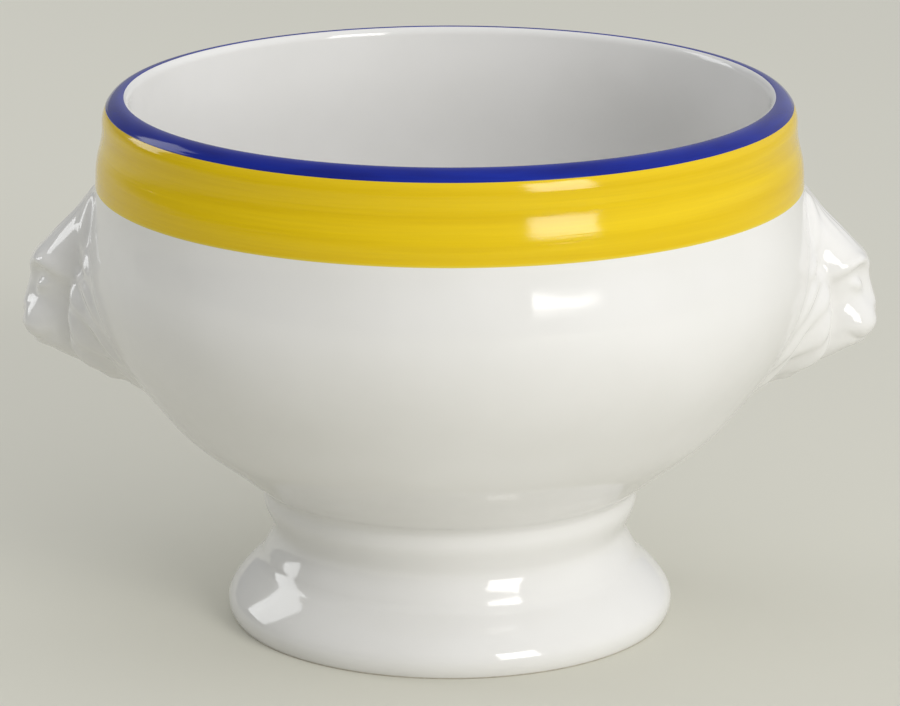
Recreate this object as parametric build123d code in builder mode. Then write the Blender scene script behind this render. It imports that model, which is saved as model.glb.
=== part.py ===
from build123d import *
import os
from math import cos, pi, radians, sin

# A footed onion soup crock of glazed porcelain, with a lion mask on each side to lift it by.
# Lengths are in millimetres. The origin is on the table under the middle of the foot, +Z points
# up through the mouth, and the two masks face +X and -X.

# Bowl: its radii are worked out from the belly upwards, and its heights down from the lip
overall_height = 95.0
belly_radius = 64.2
belly_drop = 31.0
shoulder_setback = 2.0
flare_width = 1.3
flare_top_drop = 7.6
flare_bottom_drop = 12.4
lip_thickness = 4.7
lip_crest_inset = 1.2
lip_outer_drop = 4.5
lip_inner_drop = 1.5
wall_thickness = 4.6
floor_thickness = 6.4
# Where the underside meets the foot, and how far its middle bulges below that
seat_radius = 33.0
seat_height = 24.4
underside_bulge = 4.4
# The outline from belly to seat: shares of the way out, of the way up, and of the wall
underside_shares = (
    (0.874, 0.696, 1.04),
    (0.698, 0.494, 1.08),
    (0.486, 0.292, 1.13),
    (0.247, 0.142, 1.20),
)
# The outline between seat and middle, hidden in the foot: shares of seat radius and of bulge
hidden_underside_share = (0.739, 0.342)

# Enamel coats, let into the porcelain so that their faces are flush with it
enamel_depth = 0.5
yellow_bottom_drop = 15.75
enamel_border_setback = 0.95
blue_inner_setback = 0.75

# Pedestal foot: its radii follow the seat, and the collar and neck lie below it
collar_swell = 0.4
collar_drop = 2.8
neck_setback = 1.4
neck_drop = 8.2
step_width = 2.3
step_height = 10.5
flange_width = 6.0
foot_swell_height = 2.6
ring_setback = 0.9
ring_width = 3.8
foot_wall = 4.4
flange_bend_share = (0.77, 0.39)
flange_start_slope = (1.0, -1.0)

# Lion mask. A place on it is given as shares: forward from the root, across, and up.
mask_projection = 11.7
mask_root_depth = 14.2
mask_width = 34.0
mask_height = 34.3
mask_top_drop = 16.5
# Levels of the mane, from near the root outwards: forward, half width, up to its bottom and top
mane_level_shares = (
    (0.04, 1.00, -0.01, 1.00),
    (0.19, 1.00, 0.00, 1.00),
    (0.34, 0.98, 0.01, 1.00),
    (0.46, 0.92, 0.055, 0.91),
    (0.56, 0.81, 0.11, 0.71),
    (0.63, 0.60, 0.20, 0.52),
)
# Where the mane is widest, and how much it narrows towards its top
mane_centre_share = 0.39
mane_taper_share = 0.36
# Its locks, as scallops of its outline that sweep down towards their tips
lock_count = 18
lock_relief_share = 0.035
lock_sweep = 15.0
# Sections of the head, from under the chin to the forelock
head_corner_share = 0.727
head_section_shares = (
    (-0.02, 0.15, 0.18),
    (0.02, 0.34, 0.245),
    (0.085, 0.595, 0.34),
    (0.16, 0.81, 0.38),
    (0.225, 0.92, 0.405),
    (0.315, 0.968, 0.41),
    (0.45, 0.934, 0.385),
    (0.54, 0.892, 0.425),
    (0.605, 0.90, 0.485),
    (0.67, 0.855, 0.485),
    (0.755, 0.75, 0.43),
    (0.865, 0.63, 0.34),
    (0.96, 0.52, 0.235),
    (1.00, 0.44, 0.18),
)
# The lock that falls from the forelock to the ear, and the brow
top_lock_thickness = 2.8
top_lock_shares = ((0.50, 0.13, 0.965), (0.51, 0.55, 0.70))
brow_thickness = 3.4
brow_shares = ((0.885, 0.04, 0.575), (0.72, 0.41, 0.675))
# Nose
nose_bridge_thickness = 4.4
nose_bridge_shares = ((0.815, 0.0, 0.66), (0.90, 0.0, 0.34))
nose_tip_length = 6.6
nose_tip_thickness = 4.1
nose_tip_place_share = (0.92, 0.0, 0.36)
# Eyes, muzzle, mouth and chin
socket_radius = 2.2
socket_place_share = (0.815, 0.34, 0.505)
eye_radius = 1.6
eye_place_share = (0.745, 0.265, 0.495)
pad_radius = 3.1
pad_place_share = (0.865, 0.17, 0.297)
mouth_length = 12.0
mouth_thickness = 2.2
mouth_place_share = (0.93, 0.0, 0.228)
chin_radius = 3.2
chin_place_share = (0.81, 0.0, 0.205)

both_sides = (1, -1)

# Room that a cutting shape takes past what it cuts
overrun = 5.0

quarter_turn = 90
half_turn = 180

shoulder_radius = belly_radius - shoulder_setback
lip_radius = shoulder_radius - flare_width
mouth_radius = lip_radius - lip_thickness
lip_crest_radius = mouth_radius + lip_crest_inset
enamel_border_radius = lip_radius - enamel_border_setback
blue_inner_radius = mouth_radius + blue_inner_setback
lip_side_height = overall_height - lip_outer_drop
mouth_edge_height = overall_height - lip_inner_drop
flare_top_height = overall_height - flare_top_drop
flare_bottom_height = overall_height - flare_bottom_drop
yellow_bottom_height = overall_height - yellow_bottom_drop
belly_height = overall_height - belly_drop
underside_height = seat_height - underside_bulge

collar_radius = seat_radius + collar_swell
collar_height = seat_height - collar_drop
neck_radius = seat_radius - neck_setback
neck_height = seat_height - neck_drop
step_radius = neck_radius + step_width
foot_radius = step_radius + flange_width
ring_outer_radius = foot_radius - ring_setback
ring_inner_radius = ring_outer_radius - ring_width
recess_radius = neck_radius - foot_wall

mask_reach = belly_radius + mask_projection
mask_root = belly_radius - mask_root_depth
mask_depth = mask_reach - mask_root
mask_top_height = overall_height - mask_top_drop
mask_bottom_height = mask_top_height - mask_height


def between(low, high, shares):
    """Give the point at the two shares of the way across and up from one point to another."""
    across = low.X + shares[0] * (high.X - low.X)
    return Vector(across, low.Y + shares[1] * (high.Y - low.Y))


def moved_square(points, depths):
    """Move each inner point of an outline square to it, inwards for a positive depth."""
    shifted = []
    for place in range(1, len(points) - 1):
        along = (points[place + 1] - points[place - 1]).normalized()
        inward = Vector(along.Y, -along.X)
        shifted.append(points[place] + inward * depths[place - 1])
    return shifted


# Outline points from the end of the flare, over the belly, to the middle of the underside
flare_end = Vector(shoulder_radius, flare_bottom_height)
belly = Vector(belly_radius, belly_height)
seat = Vector(seat_radius, seat_height)
underside_middle = Vector(0, underside_height)
underside = [between(seat, belly, shares) for shares in underside_shares]
side_points = [flare_end, belly] + underside + [seat]
hidden_point = between(underside_middle, seat, hidden_underside_share)


def draw_lip(inset, bottom):
    """Draw the round lip, set in by a depth, on a straight-sided wall that ends at a height."""
    inner_side = (mouth_radius + inset, mouth_edge_height)
    outer_side = (lip_radius - inset, lip_side_height)
    EllipticalCenterArc(
        (lip_crest_radius, inner_side[1]),
        lip_crest_radius - inner_side[0],
        lip_inner_drop - inset,
        start_angle=quarter_turn,
        arc_size=quarter_turn,
    )
    EllipticalCenterArc(
        (lip_crest_radius, outer_side[1]),
        outer_side[0] - lip_crest_radius,
        lip_outer_drop - inset,
        start_angle=0,
        arc_size=quarter_turn,
    )
    Polyline(inner_side, (inner_side[0], bottom), (outer_side[0], bottom), outer_side)


def draw_outside(inset):
    """Draw the bowl's outline from the crest down to the middle, set in by a depth."""
    top = Vector(lip_crest_radius, overall_height - inset)
    wall_top = Vector(lip_radius - inset, lip_side_height)
    flare_start = Vector(lip_radius - inset, flare_top_height)
    flare_stop = Vector(shoulder_radius - inset, flare_bottom_height)
    flare_middle = (flare_start + flare_stop) * 0.5
    EllipticalCenterArc(
        (top.X, lip_side_height),
        wall_top.X - top.X,
        top.Y - lip_side_height,
        start_angle=0,
        arc_size=quarter_turn,
    )
    Line(wall_top, flare_start)
    TangentArc(flare_start, flare_middle, tangent=(0, -1))
    TangentArc(flare_stop, flare_middle, tangent=(0, 1))
    sides = moved_square(side_points, [inset] * len(side_points))
    low_points = [seat, hidden_point, underside_middle]
    Spline(flare_stop, *sides, *low_points, tangents=[(0, -1), (-1, 0)])
    Line(underside_middle, (0, top.Y))
    Line((0, top.Y), top)


def draw_cavity():
    """Draw the hollow of the bowl: the lip's inner side, the wall inside and the round floor."""
    top = overall_height + overrun
    depths = [wall_thickness] + [wall_thickness * shares[2] for shares in underside_shares]
    inner = moved_square(side_points, depths)
    inner_flare = Vector(shoulder_radius - wall_thickness, flare_bottom_height)
    floor = Vector(0, underside_height + floor_thickness)
    EllipticalCenterArc(
        (lip_crest_radius, mouth_edge_height),
        lip_crest_radius - mouth_radius,
        lip_inner_drop,
        start_angle=quarter_turn,
        arc_size=quarter_turn,
    )
    rim = (mouth_radius, mouth_edge_height)
    Spline(rim, inner_flare, *inner, floor, tangents=[(0, -1), (-1, 0)])
    Polyline(floor, (0, top), (lip_crest_radius, top), (lip_crest_radius, overall_height))


def ring_profile(inner, outer, bottom, top):
    """Draw the section of a plain ring between two radii and two heights."""
    with Locations(((inner + outer) / 2, (bottom + top) / 2)):
        Rectangle(outer - inner, top - bottom)


def spindle(length, thickness):
    """Make a round spindle along Z, pointed softly at both ends."""
    half = length / 2
    with BuildPart() as body:
        with BuildSketch(Plane.YZ):
            with BuildLine():
                EllipticalCenterArc(
                    (0, 0),
                    thickness / 2,
                    half,
                    start_angle=-quarter_turn,
                    arc_size=half_turn,
                )
                Line((0, half), (0, -half))
            make_face()
        revolve(axis=Axis.Z)
    return body.part


def on_mask(shares, side=1):
    """Give the place on the right-hand mask that three shares name."""
    forward = mask_root + shares[0] * mask_depth
    across = side * shares[1] * mask_width / 2
    return Vector(forward, across, mask_bottom_height + shares[2] * mask_height)


def across_mask(shares):
    """Give the plane at a place on the mask whose Z axis points across the face."""
    return Plane(origin=on_mask(shares), z_dir=(0, 1, 0))


def draw_head_section(forward, half_width):
    """Draw a level section of the head: straight at the root, with round front corners."""
    front = mask_root + forward
    corner = Vector(forward, half_width) * head_corner_share
    for side in both_sides:
        EllipticalCenterArc(
            (front - corner.X, side * (half_width - corner.Y)),
            corner.X,
            corner.Y,
            start_angle=min(0, side * quarter_turn),
            arc_size=quarter_turn,
        )
    Line((front, corner.Y - half_width), (front, half_width - corner.Y))
    Polyline(
        (front - corner.X, half_width),
        (mask_root, half_width),
        (mask_root, -half_width),
        (front - corner.X, -half_width),
    )


def head_form():
    """Make the head as a stack of level sections, from under the chin to the forelock."""
    with BuildPart() as form:
        for up_share, forward_share, half_width_share in head_section_shares:
            forward = forward_share * mask_depth
            half_width = half_width_share * mask_width / 2
            with BuildSketch(Plane.XY.offset(mask_bottom_height + up_share * mask_height)):
                with BuildLine():
                    draw_head_section(forward, half_width)
                make_face()
        loft()
    return form.part


def draw_mane_level(half_width_share, bottom_share, top_share, sweep):
    """Draw the mane's outline at a level, from below the chin round, scalloped by its locks."""
    points = []
    for step in range(2 * lock_count):
        turn = pi * (step / lock_count - 1 / 2)
        angle = turn - sweep * cos(turn)
        crest = 1 + lock_relief_share * (-1) ** step
        narrowing = 1 - mane_taper_share * max(0, sin(angle))
        across = half_width_share * narrowing * crest * cos(angle)
        reach = top_share - mane_centre_share if sin(angle) > 0 else mane_centre_share - bottom_share
        up = mane_centre_share + reach * crest * sin(angle)
        points.append((across * mask_width / 2, mask_bottom_height + up * mask_height))
    Spline(*points, periodic=True)


def mane_form():
    """Make the mane as one mound of swept locks, lofted from its root to its face."""
    front_share = mane_level_shares[-1][0]
    with BuildPart() as form:
        for forward_share, *outline_shares in mane_level_shares:
            sweep = radians(lock_sweep) * (1 - forward_share / front_share)
            with BuildSketch(Plane.YZ.offset(mask_root + forward_share * mask_depth)):
                with BuildLine():
                    draw_mane_level(*outline_shares, sweep)
                make_face()
        loft()
    return form.part


def strand(start, stop, thickness):
    """Make a spindle between two places."""
    along = stop - start
    plane = Plane(origin=(start + stop) * 0.5, z_dir=along)
    return plane * spindle(along.length, thickness)


def paired_strands(end_shares, thickness):
    """Make a strand on each side of the face, between two places given as shares."""
    pair = []
    for side in both_sides:
        start, stop = (on_mask(shares, side) for shares in end_shares)
        pair.append(strand(start, stop, thickness))
    return pair


# The bowl as a full form, which also cuts the backs of the pieces that seat on it
with BuildPart() as outside_form:
    with BuildSketch(Plane.YZ):
        with BuildLine():
            draw_outside(0)
        make_face()
    revolve(axis=Axis.Z)

# The yellow enamel band, from its lower border up to the blue line
with BuildPart() as yellow_band:
    add(outside_form.part)
    with BuildSketch(Plane.YZ):
        ring_profile(
            enamel_border_radius,
            belly_radius + overrun,
            yellow_bottom_height,
            overall_height + overrun,
        )
    revolve(axis=Axis.Z, mode=Mode.INTERSECT)
    with BuildSketch(Plane.YZ):
        with BuildLine():
            draw_outside(enamel_depth)
        make_face()
    revolve(axis=Axis.Z, mode=Mode.SUBTRACT)
yellow_band.part.label = "yellow_band"

# The blue enamel line over the lip
with BuildPart() as blue_rim_line:
    with BuildSketch(Plane.YZ):
        with BuildLine():
            draw_lip(0, flare_top_height)
        make_face()
    revolve(axis=Axis.Z)
    with BuildSketch(Plane.YZ):
        ring_profile(
            blue_inner_radius,
            enamel_border_radius,
            lip_side_height,
            overall_height + overrun,
        )
    revolve(axis=Axis.Z, mode=Mode.INTERSECT)
    with BuildSketch(Plane.YZ):
        with BuildLine():
            draw_lip(enamel_depth, flare_bottom_height)
        make_face()
    revolve(axis=Axis.Z, mode=Mode.SUBTRACT)
blue_rim_line.part.label = "blue_rim_line"

# The bowl: hollowed, and recessed where the coats lie
with BuildPart() as bowl:
    add(outside_form.part)
    with BuildSketch(Plane.YZ):
        with BuildLine():
            draw_cavity()
        make_face()
    revolve(axis=Axis.Z, mode=Mode.SUBTRACT)
    add(yellow_band.part, mode=Mode.SUBTRACT)
    add(blue_rim_line.part, mode=Mode.SUBTRACT)
bowl.part.label = "bowl"

# The foot: a hollow ring with a collar, a drawn-in neck, a step and a swelling flange
with BuildPart() as pedestal_foot:
    flange_rise = step_height - foot_swell_height
    bend = Vector(
        step_radius + flange_bend_share[0] * flange_width,
        foot_swell_height + flange_bend_share[1] * flange_rise,
    )
    top = seat_height + overrun
    with BuildSketch(Plane.YZ):
        with BuildLine():
            Line((recess_radius, top), (seat_radius, top))
            Line((seat_radius, top), seat)
            Spline(
                seat,
                (collar_radius, collar_height),
                (neck_radius, neck_height),
                (step_radius, step_height),
                tangents=[(1, -1), (0, -1)],
            )
            Spline(
                (step_radius, step_height),
                bend,
                (foot_radius, foot_swell_height),
                tangents=[flange_start_slope, (0, -1)],
            )
            swell = (foot_radius, foot_swell_height)
            TangentArc(swell, (ring_outer_radius, 0), tangent=(0, -1))
            Line((ring_outer_radius, 0), (ring_inner_radius, 0))
            Spline(
                (ring_inner_radius, 0),
                ((ring_inner_radius + recess_radius) / 2, step_height / 2),
                (recess_radius, neck_height),
                tangents=[(0, 1), (0, 1)],
            )
            Line((recess_radius, neck_height), (recess_radius, top))
        make_face()
    revolve(axis=Axis.Z)
    add(outside_form.part, mode=Mode.SUBTRACT)
pedestal_foot.part.label = "pedestal_foot"

# The right-hand mask: the mane and its locks, the head on it, and the face
with BuildPart() as lion_handle_right:
    add(mane_form())
    for lock in paired_strands(top_lock_shares, top_lock_thickness):
        add(lock)
    add(head_form())
    with Locations([on_mask(socket_place_share, side) for side in both_sides]):
        Sphere(socket_radius, mode=Mode.SUBTRACT)
    with Locations([on_mask(eye_place_share, side) for side in both_sides]):
        Sphere(eye_radius)
    for brow in paired_strands(brow_shares, brow_thickness):
        add(brow)
    bridge_start, bridge_stop = (on_mask(shares) for shares in nose_bridge_shares)
    add(strand(bridge_start, bridge_stop, nose_bridge_thickness))
    with Locations([on_mask(pad_place_share, side) for side in both_sides]):
        Sphere(pad_radius)
    with Locations(across_mask(nose_tip_place_share)):
        add(spindle(nose_tip_length, nose_tip_thickness))
    with Locations(on_mask(chin_place_share)):
        Sphere(chin_radius)
    with Locations(across_mask(mouth_place_share)):
        add(spindle(mouth_length, mouth_thickness), mode=Mode.SUBTRACT)
    add(outside_form.part, mode=Mode.SUBTRACT)
lion_handle_right.part.label = "lion_handle_right"

# The left mask is the same form turned half round, because each is even about its middle
with BuildPart() as lion_handle_left:
    add(lion_handle_right.part, rotation=(0, 0, half_turn))
lion_handle_left.part.label = "lion_handle_left"

os.makedirs("parts", exist_ok=True)
for piece in (bowl, pedestal_foot, yellow_band, blue_rim_line, lion_handle_right, lion_handle_left):
    export_step(piece.part, f"parts/{piece.part.label}.step")
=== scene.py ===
import math

import bmesh
import bpy
import numpy as np
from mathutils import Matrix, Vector


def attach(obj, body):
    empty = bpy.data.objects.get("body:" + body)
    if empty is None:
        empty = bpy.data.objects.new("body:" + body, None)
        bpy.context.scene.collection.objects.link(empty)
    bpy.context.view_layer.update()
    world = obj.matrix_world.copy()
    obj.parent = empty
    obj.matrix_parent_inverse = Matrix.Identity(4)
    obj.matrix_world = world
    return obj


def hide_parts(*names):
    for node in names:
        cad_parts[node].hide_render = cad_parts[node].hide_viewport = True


# The looks of a footed soup crock: turned porcelain bodies under a clear glaze, two hand-banded
# enamels round the rim, and a cast lion mask on each side. Lengths are written in millimetres
# and turned into metres by MM where an object is made.

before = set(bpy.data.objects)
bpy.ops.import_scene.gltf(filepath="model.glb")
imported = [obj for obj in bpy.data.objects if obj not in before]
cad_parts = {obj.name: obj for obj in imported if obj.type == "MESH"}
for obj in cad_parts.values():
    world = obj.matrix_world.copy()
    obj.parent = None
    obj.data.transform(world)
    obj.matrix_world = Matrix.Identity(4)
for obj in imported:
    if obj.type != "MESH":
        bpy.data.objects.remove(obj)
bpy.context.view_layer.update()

MM = 0.001

# The camera, fitted to the photograph
CAMERA_PLACE = Vector((0.04, -771.1, 264.8))
CAMERA_PITCH = 15.742
CAMERA_LENS = 180.0
CAMERA_SENSOR = 36.0
NEAR_CLIP = 20.0
FAR_CLIP = 30000.0

# The bowl's outline, as in the solid model, but with a flare that the glaze has softened
OVERALL_HEIGHT = 95.0
BELLY_RADIUS = 64.2
BELLY_HEIGHT = 64.0
SHOULDER_RADIUS = 62.2
LIP_RADIUS = 60.9
MOUTH_RADIUS = 56.2
LIP_CREST_RADIUS = 57.4
LIP_OUTER_DROP = 4.5
LIP_INNER_DROP = 1.5
FLARE_TOP_HEIGHT = 90.0
FLARE_BOTTOM_HEIGHT = 80.8
WALL_THICKNESS = 4.6
FLOOR_THICKNESS = 6.4
SEAT = np.array((33.0, 24.4))
UNDERSIDE_HEIGHT = 20.0
# Shares of the way from the seat to the belly, out and up, and of the wall's thickness
UNDERSIDE_SHARES = (
    (0.874, 0.696, 1.04),
    (0.698, 0.494, 1.08),
    (0.486, 0.292, 1.13),
    (0.247, 0.142, 1.20),
)
HIDDEN_UNDERSIDE_SHARE = (0.739, 0.342)

# Enamels: where each coat starts and stops, and how its face stands against the porcelain
YELLOW_BOTTOM_HEIGHT = 79.25
ENAMEL_BORDER_RADIUS = 60.25
BLUE_INNER_RADIUS = 56.95
COAT_DEPTH = 0.30
BED_DEPTH = 0.10
BORDER_WANDER = 0.10
# A coat's edges: how far along its face from the edge, and how far off the porcelain there
YELLOW_UPPER_EDGE = ((0.0, -0.09), (0.4, -0.03), (0.9, 0.0))
YELLOW_LOWER_EDGE = ((-0.6, 0.0), (-0.25, 0.02), (-0.1, -0.03), (0.0, -0.2))
BLUE_INNER_EDGE = ((0.0, -0.2), (0.1, -0.03), (0.22, 0.012))
BLUE_OUTER_EDGE = ((-0.5, 0.0), (-0.2, 0.03), (-0.1, -0.02), (0.0, -0.2))
# How far each coat runs past its borders
BLUE_OVERLAP = 0.1
YELLOW_OVERLAP = 0.5
YELLOW_DRIP = 0.1
# Where the bed for the coats starts and is at its full depth, from its first and last edge
BED_EDGES = (0.05, 0.3, -0.6, -0.25)
# How far above its lower edge a coat starts to wander, and the length over which that grows
YELLOW_WANDER = (2.5, 2.0)
BLUE_WANDER = (1.2, 1.0)
# How far from the crest each border is looked for along the path
INNER_LIP_REACH = 2.0
LIP_REACH = 6.0
WALL_REACH = 40.0
# How far above the yellow's lower border the side of the bowl starts that the masks lie on
SIDE_OVERRUN = 4.0

# The foot's outline, as in the solid model, but its neck runs into the step in a gentler curve,
# and glaze fills the corners at the step and the seat
COLLAR = np.array((33.4, 21.6))
NECK = np.array((31.6, 16.2))
STEP = np.array((33.9, 10.5))
SWELL = np.array((39.9, 2.6))
RING_OUTER_RADIUS = 39.0
RING_INNER_RADIUS = 35.2
RECESS_RADIUS = 27.2
FLANGE_BEND_SHARE = (0.77, 0.39)
STEP_SOFTENING = 1.1
SEAT_FILLET_REACH = 2.4
SEAT_FILLET = np.array((33.5, 23.9))
# Which way the neck's curve runs where it meets the step
NECK_END = (0.35, -1)
# How the foot's hidden top edge is eased inside, and sunk into the bowl outside
FOOT_TOP_EASE = (1.0, 0.4)
FOOT_SINK = (-1.0, 1.2)
BARE_CLAY_HEIGHT = 0.35

# Turning: the steps in a turn, the gap closed at the seam, and how often a border wanders
TURN_STEPS = 256
SEAM_GAP = 0.0005
WANDER_SCALE = 2.2


def make_camera():
    data = bpy.data.cameras.new("camera")
    data.lens = CAMERA_LENS
    data.sensor_width = CAMERA_SENSOR
    data.sensor_fit = "HORIZONTAL"
    data.clip_start = NEAR_CLIP * MM
    data.clip_end = FAR_CLIP * MM
    camera = bpy.data.objects.new("camera", data)
    camera.location = CAMERA_PLACE * MM
    camera.rotation_euler = (math.radians(90 - CAMERA_PITCH), 0, 0)
    bpy.context.scene.collection.objects.link(camera)
    bpy.context.scene.camera = camera


make_camera()


# Curves in the plane of radius and height


def smooth_curve(points, start, end, steps):
    """The smooth cubic through some points, with given directions at both ends."""
    points = np.asarray(points, float)
    gaps = np.hypot(*np.diff(points, axis=0).T)
    count = len(points)
    rule = np.eye(count)
    slopes = np.zeros((count, 2))
    slopes[0] = np.array(start) / np.hypot(*start)
    slopes[-1] = np.array(end) / np.hypot(*end)
    for i in range(1, count - 1):
        before, after = gaps[i - 1], gaps[i]
        rule[i, i - 1 : i + 2] = (after, 2 * (before + after), before)
        rise_before = (points[i] - points[i - 1]) / before
        rise_after = (points[i + 1] - points[i]) / after
        slopes[i] = 3 * (after * rise_before + before * rise_after)
    slopes = np.linalg.solve(rule, slopes)
    spans = []
    for i in range(count - 1):
        t = np.linspace(0, 1, steps, endpoint=False)[:, None]
        spans.append(
            (2 * t**3 - 3 * t**2 + 1) * points[i]
            + (t**3 - 2 * t**2 + t) * gaps[i] * slopes[i]
            + (3 * t**2 - 2 * t**3) * points[i + 1]
            + (t**3 - t**2) * gaps[i] * slopes[i + 1]
        )
    return np.vstack([*spans, points[-1:]])


def ellipse_arc(centre, radii, first, last, steps):
    """An arc of an ellipse between two angles in degrees."""
    angles = np.radians(np.linspace(first, last, steps + 1))
    return np.stack((centre[0] + radii[0] * np.cos(angles), centre[1] + radii[1] * np.sin(angles)), 1)


def bend_down(start, across, drop, steps):
    """An arc that sets off straight down and swings outwards, or inwards where across is below 0."""
    radius = (across**2 + drop**2) / (2 * across)
    angles = np.linspace(0, math.asin(drop / abs(radius)), steps + 1)
    radii = start[0] + radius * (1 - np.cos(angles))
    return np.stack((radii, start[1] - abs(radius) * np.sin(angles)), 1)


def double_bend(top, bottom, steps):
    """Two arcs that carry an upright wall out to another upright wall lower down."""
    first = bend_down(top, (bottom[0] - top[0]) / 2, (top[1] - bottom[1]) / 2, steps)
    second = (np.array(top) + np.array(bottom)) - first[::-1]
    return np.vstack((first, second[1:]))


def between(low, high, shares):
    return np.array(low) + np.array(shares) * (np.array(high) - np.array(low))


def moved_square(points, depths):
    """Each inner point moved square to the line through its neighbours, inwards."""
    moved = []
    for i in range(1, len(points) - 1):
        along = points[i + 1] - points[i - 1]
        along = along / np.hypot(*along)
        moved.append(points[i] + np.array((along[1], -along[0])) * depths[i - 1])
    return moved


def path_lengths(path):
    return np.concatenate(([0.0], np.cumsum(np.hypot(*np.diff(path, axis=0).T))))


def outward(path):
    """Unit normals to the left of a path that runs clockwise about the wall."""
    along = np.gradient(path, axis=0)
    along /= np.hypot(*along.T)[:, None]
    return np.stack((-along[:, 1], along[:, 0]), 1)


flare_end = np.array((SHOULDER_RADIUS, FLARE_BOTTOM_HEIGHT))
belly = np.array((BELLY_RADIUS, BELLY_HEIGHT))
underside = [between(SEAT, belly, shares[:2]) for shares in UNDERSIDE_SHARES]
side_points = [flare_end, belly, *underside, SEAT]


def bowl_path():
    """The bowl's whole section: inside from the middle up, over the lip, and down the outside."""
    depths = [WALL_THICKNESS] + [WALL_THICKNESS * shares[2] for shares in UNDERSIDE_SHARES]
    rim = np.array((MOUTH_RADIUS, OVERALL_HEIGHT - LIP_INNER_DROP))
    inner = [rim, np.array((SHOULDER_RADIUS - WALL_THICKNESS, FLARE_BOTTOM_HEIGHT))]
    inner += moved_square(side_points, depths)
    inner.append(np.array((0.0, UNDERSIDE_HEIGHT + FLOOR_THICKNESS)))
    inside = smooth_curve(inner, (0, -1), (-1, 0), steps=18)[::-1]
    inner_radii = (LIP_CREST_RADIUS - MOUTH_RADIUS, LIP_INNER_DROP)
    outer_radii = (LIP_RADIUS - LIP_CREST_RADIUS, LIP_OUTER_DROP)
    inner_lip = ellipse_arc((LIP_CREST_RADIUS, rim[1]), inner_radii, 180, 90, steps=18)
    side_height = OVERALL_HEIGHT - LIP_OUTER_DROP
    outer_lip = ellipse_arc((LIP_CREST_RADIUS, side_height), outer_radii, 90, 0, steps=36)
    flare = double_bend((LIP_RADIUS, FLARE_TOP_HEIGHT), flare_end, steps=10)
    wall = np.linspace(outer_lip[-1], flare[0], 5)
    hidden = between((0, UNDERSIDE_HEIGHT), SEAT, HIDDEN_UNDERSIDE_SHARE)
    low_points = [SEAT, hidden, np.array((0.0, UNDERSIDE_HEIGHT))]
    side = smooth_curve([flare_end, belly, *underside, *low_points], (0, -1), (-1, 0), steps=22)
    return np.vstack((inside, inner_lip[1:], outer_lip[1:], wall[1:], flare[1:], side[1:]))


whole_path = bowl_path()
whole_lengths = path_lengths(whole_path)
crest_length = float(whole_lengths[np.argmax(whole_path[:, 1])])
RADIUS, HEIGHT = 0, 1


def length_at(measure, value, low, high):
    """How far along the path, between two lengths from the crest, a radius or height is met."""
    past_crest = whole_lengths - crest_length
    inside = (past_crest >= low) & (past_crest <= high)
    places, values = whole_lengths[inside], whole_path[inside, measure]
    if values[0] > values[-1]:
        places, values = places[::-1], values[::-1]
    return float(np.interp(value, values, places))


blue_start = length_at(RADIUS, BLUE_INNER_RADIUS, -INNER_LIP_REACH, 0.0)
enamel_border = length_at(RADIUS, ENAMEL_BORDER_RADIUS, 0.0, LIP_REACH)
yellow_stop = length_at(HEIGHT, YELLOW_BOTTOM_HEIGHT, LIP_REACH, WALL_REACH)
side_of_bowl = whole_path[whole_lengths > yellow_stop - SIDE_OVERRUN]
side_of_bowl = side_of_bowl[side_of_bowl[:, 0] > SEAT[0]][::-1]


# The lathe: a node tree that turns a section into a closed body


def tree_input(tree, name, kind, value=None):
    socket = tree.interface.new_socket(name, in_out="INPUT", socket_type=kind)
    if value is not None:
        socket.default_value = value
    return socket.identifier


def maths(nodes, links, operation, first, second):
    node = nodes.new("ShaderNodeMath")
    node.operation = operation
    for socket, value in zip(node.inputs, (first, second)):
        if isinstance(value, (int, float)):
            socket.default_value = value
        else:
            links.new(value, socket)
    return node.outputs[0]


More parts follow.
